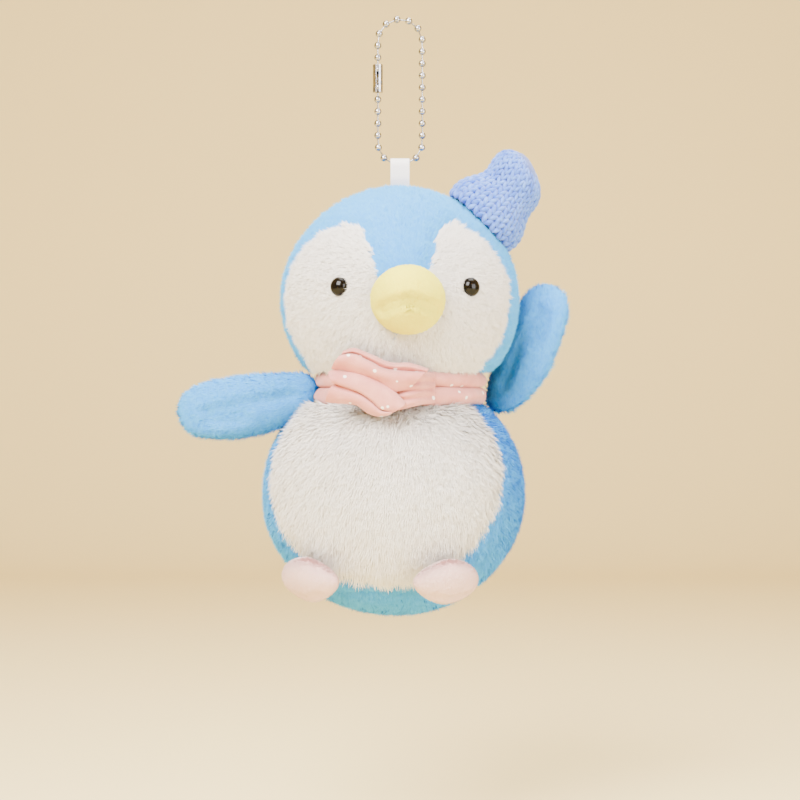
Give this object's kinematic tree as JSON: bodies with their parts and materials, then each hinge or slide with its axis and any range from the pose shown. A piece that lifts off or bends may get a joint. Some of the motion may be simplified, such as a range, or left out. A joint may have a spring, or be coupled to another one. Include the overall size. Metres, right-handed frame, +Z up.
{
  "type": "plush penguin keychain",
  "caption": "Stuffed penguin in blue and white plush with wings, feet, yellow beak, scarf and knitted hat, hanging from a loop of ball chain.",
  "frame": {"origin": "the point where a hook or ring carries the loop of ball chain, under the top of the loop", "axes": "+Z up along the hanging toy's height; the penguin faces -Y; +X is its own left"},
  "size_m": [0.1336, 0.0853, 0.1993],
  "materials": {
    "nickel": "polished nickel plate",
    "satin": "woven satin ribbon",
    "blue_pile": "soft short pile plush",
    "white_pile": "soft short pile plush",
    "yellow_pile": "velvety short pile plush",
    "pink_pile": "velvety short pile plush",
    "cotton": "plain woven cotton with a small white print",
    "yarn": "knitted yarn",
    "fibre_fill": "loose polyester fibre fill",
    "black_eye": "polished",
    "washer_plastic": "moulded"
  },
  "bodies": {
    "chain_top": {"chain_top_beads": "nickel", "chain_top_links": "nickel"},
    "chain_strands": {"chain_strand_beads": "nickel", "chain_strand_links": "nickel"},
    "chain_bottom": {"chain_bottom_beads": "nickel", "chain_bottom_links": "nickel"},
    "connector": {"chain_connector": "nickel"},
    "ribbon": {"ribbon_loop": "satin"},
    "head": {"head_crown": "blue_pile", "head_back_left": "blue_pile", "head_back_right": "blue_pile", "face_left": "white_pile", "face_right": "white_pile", "head_stuffing": "fibre_fill", "beak_upper": "yellow_pile", "beak_lower": "yellow_pile", "beak_stuffing": "fibre_fill", "eye_left": "black_eye", "eye_right": "black_eye", "eye_washer_left": "washer_plastic", "eye_washer_right": "washer_plastic", "hat_knit": "yarn", "hat_stuffing": "fibre_fill"},
    "neck": {"neck_stuffing": "fibre_fill"},
    "torso": {"belly_panel": "white_pile", "body_side_left": "blue_pile", "body_side_right": "blue_pile", "body_base": "blue_pile", "body_stuffing": "fibre_fill"},
    "scarf": {"scarf_band": "cotton", "scarf_knot": "cotton"},
    "scarf_ends": {"scarf_tail_upper": "cotton", "scarf_tail_lower": "cotton"},
    "wing_left": {"wing_left_front": "blue_pile", "wing_left_back": "blue_pile", "wing_left_stuffing": "fibre_fill"},
    "wing_right": {"wing_right_front": "blue_pile", "wing_right_back": "blue_pile", "wing_right_stuffing": "fibre_fill"},
    "foot_left": {"foot_left_top": "pink_pile", "foot_left_sole": "pink_pile", "foot_left_stuffing": "fibre_fill"},
    "foot_right": {"foot_right_top": "pink_pile", "foot_right_sole": "pink_pile", "foot_right_stuffing": "fibre_fill"}
  },
  "joints": [
    {"name": "loop_swing_upper", "type": "hinge", "parent": "chain_top", "child": "chain_strands", "pos_m": [-0.0074, 0, -0.00758], "axis": [0.991, 0, -0.1339], "range_deg": [-50, 50]},
    {"name": "connector_spin", "type": "hinge", "parent": "chain_strands", "child": "connector", "pos_m": [-0.0074, 0, -0.01858], "axis": [0, 0, 1], "continuous": true},
    {"name": "loop_swing_lower", "type": "hinge", "parent": "chain_strands", "child": "chain_bottom", "pos_m": [0, 0, -0.03758], "axis": [1, 0, 0], "range_deg": [-60, 60]},
    {"name": "ribbon_slide", "type": "hinge", "parent": "chain_bottom", "child": "ribbon", "pos_m": [0, 0, -0.03995], "axis": [0, 1, 0], "range_deg": [-25, 25]},
    {"name": "head_swing", "type": "hinge", "parent": "ribbon", "child": "head", "pos_m": [0, 0, -0.0545], "axis": [1, 0, 0], "range_deg": [-45, 45]},
    {"name": "neck_turn", "type": "hinge", "parent": "head", "child": "neck", "pos_m": [0, 0, -0.122], "axis": [0, 0, 1], "range_deg": [-15, 15], "stiffness_Nm_per_rad": 0.03},
    {"name": "neck_nod", "type": "hinge", "parent": "neck", "child": "torso", "pos_m": [0, 0, -0.122], "axis": [1, 0, 0], "range_deg": [0, 8], "stiffness_Nm_per_rad": 0.08},
    {"name": "scarf_turn", "type": "hinge", "parent": "neck", "child": "scarf", "pos_m": [0, 0, -0.122], "axis": [0, 0, 1], "range_deg": [-20, 20]},
    {"name": "scarf_ends_lift", "type": "hinge", "parent": "scarf", "child": "scarf_ends", "pos_m": [0, -0.0326, -0.12], "axis": [0, 0, 1], "range_deg": [0, 25], "stiffness_Nm_per_rad": 0.0015},
    {"name": "wing_left_flap", "type": "hinge", "parent": "torso", "child": "wing_left", "pos_m": [0.03916, 0.008, -0.12004], "axis": [0, 1, 0], "range_deg": [0, 70], "stiffness_Nm_per_rad": 0.02},
    {"name": "wing_right_flap", "type": "hinge", "parent": "torso", "child": "wing_right", "pos_m": [-0.04031, -0.004, -0.12637], "axis": [0, 1, 0], "range_deg": [-15, 60], "stiffness_Nm_per_rad": 0.02},
    {"name": "foot_left_flex", "type": "hinge", "parent": "torso", "child": "foot_left", "pos_m": [0.01263, -0.03027, -0.1785], "axis": [0.9272, 0.3746, 0], "range_deg": [-12, 12], "stiffness_Nm_per_rad": 0.02},
    {"name": "foot_right_flex", "type": "hinge", "parent": "torso", "child": "foot_right", "pos_m": [-0.025, -0.02498, -0.1785], "axis": [0.788, -0.6157, 0], "range_deg": [-12, 12], "stiffness_Nm_per_rad": 0.02}
  ]
}
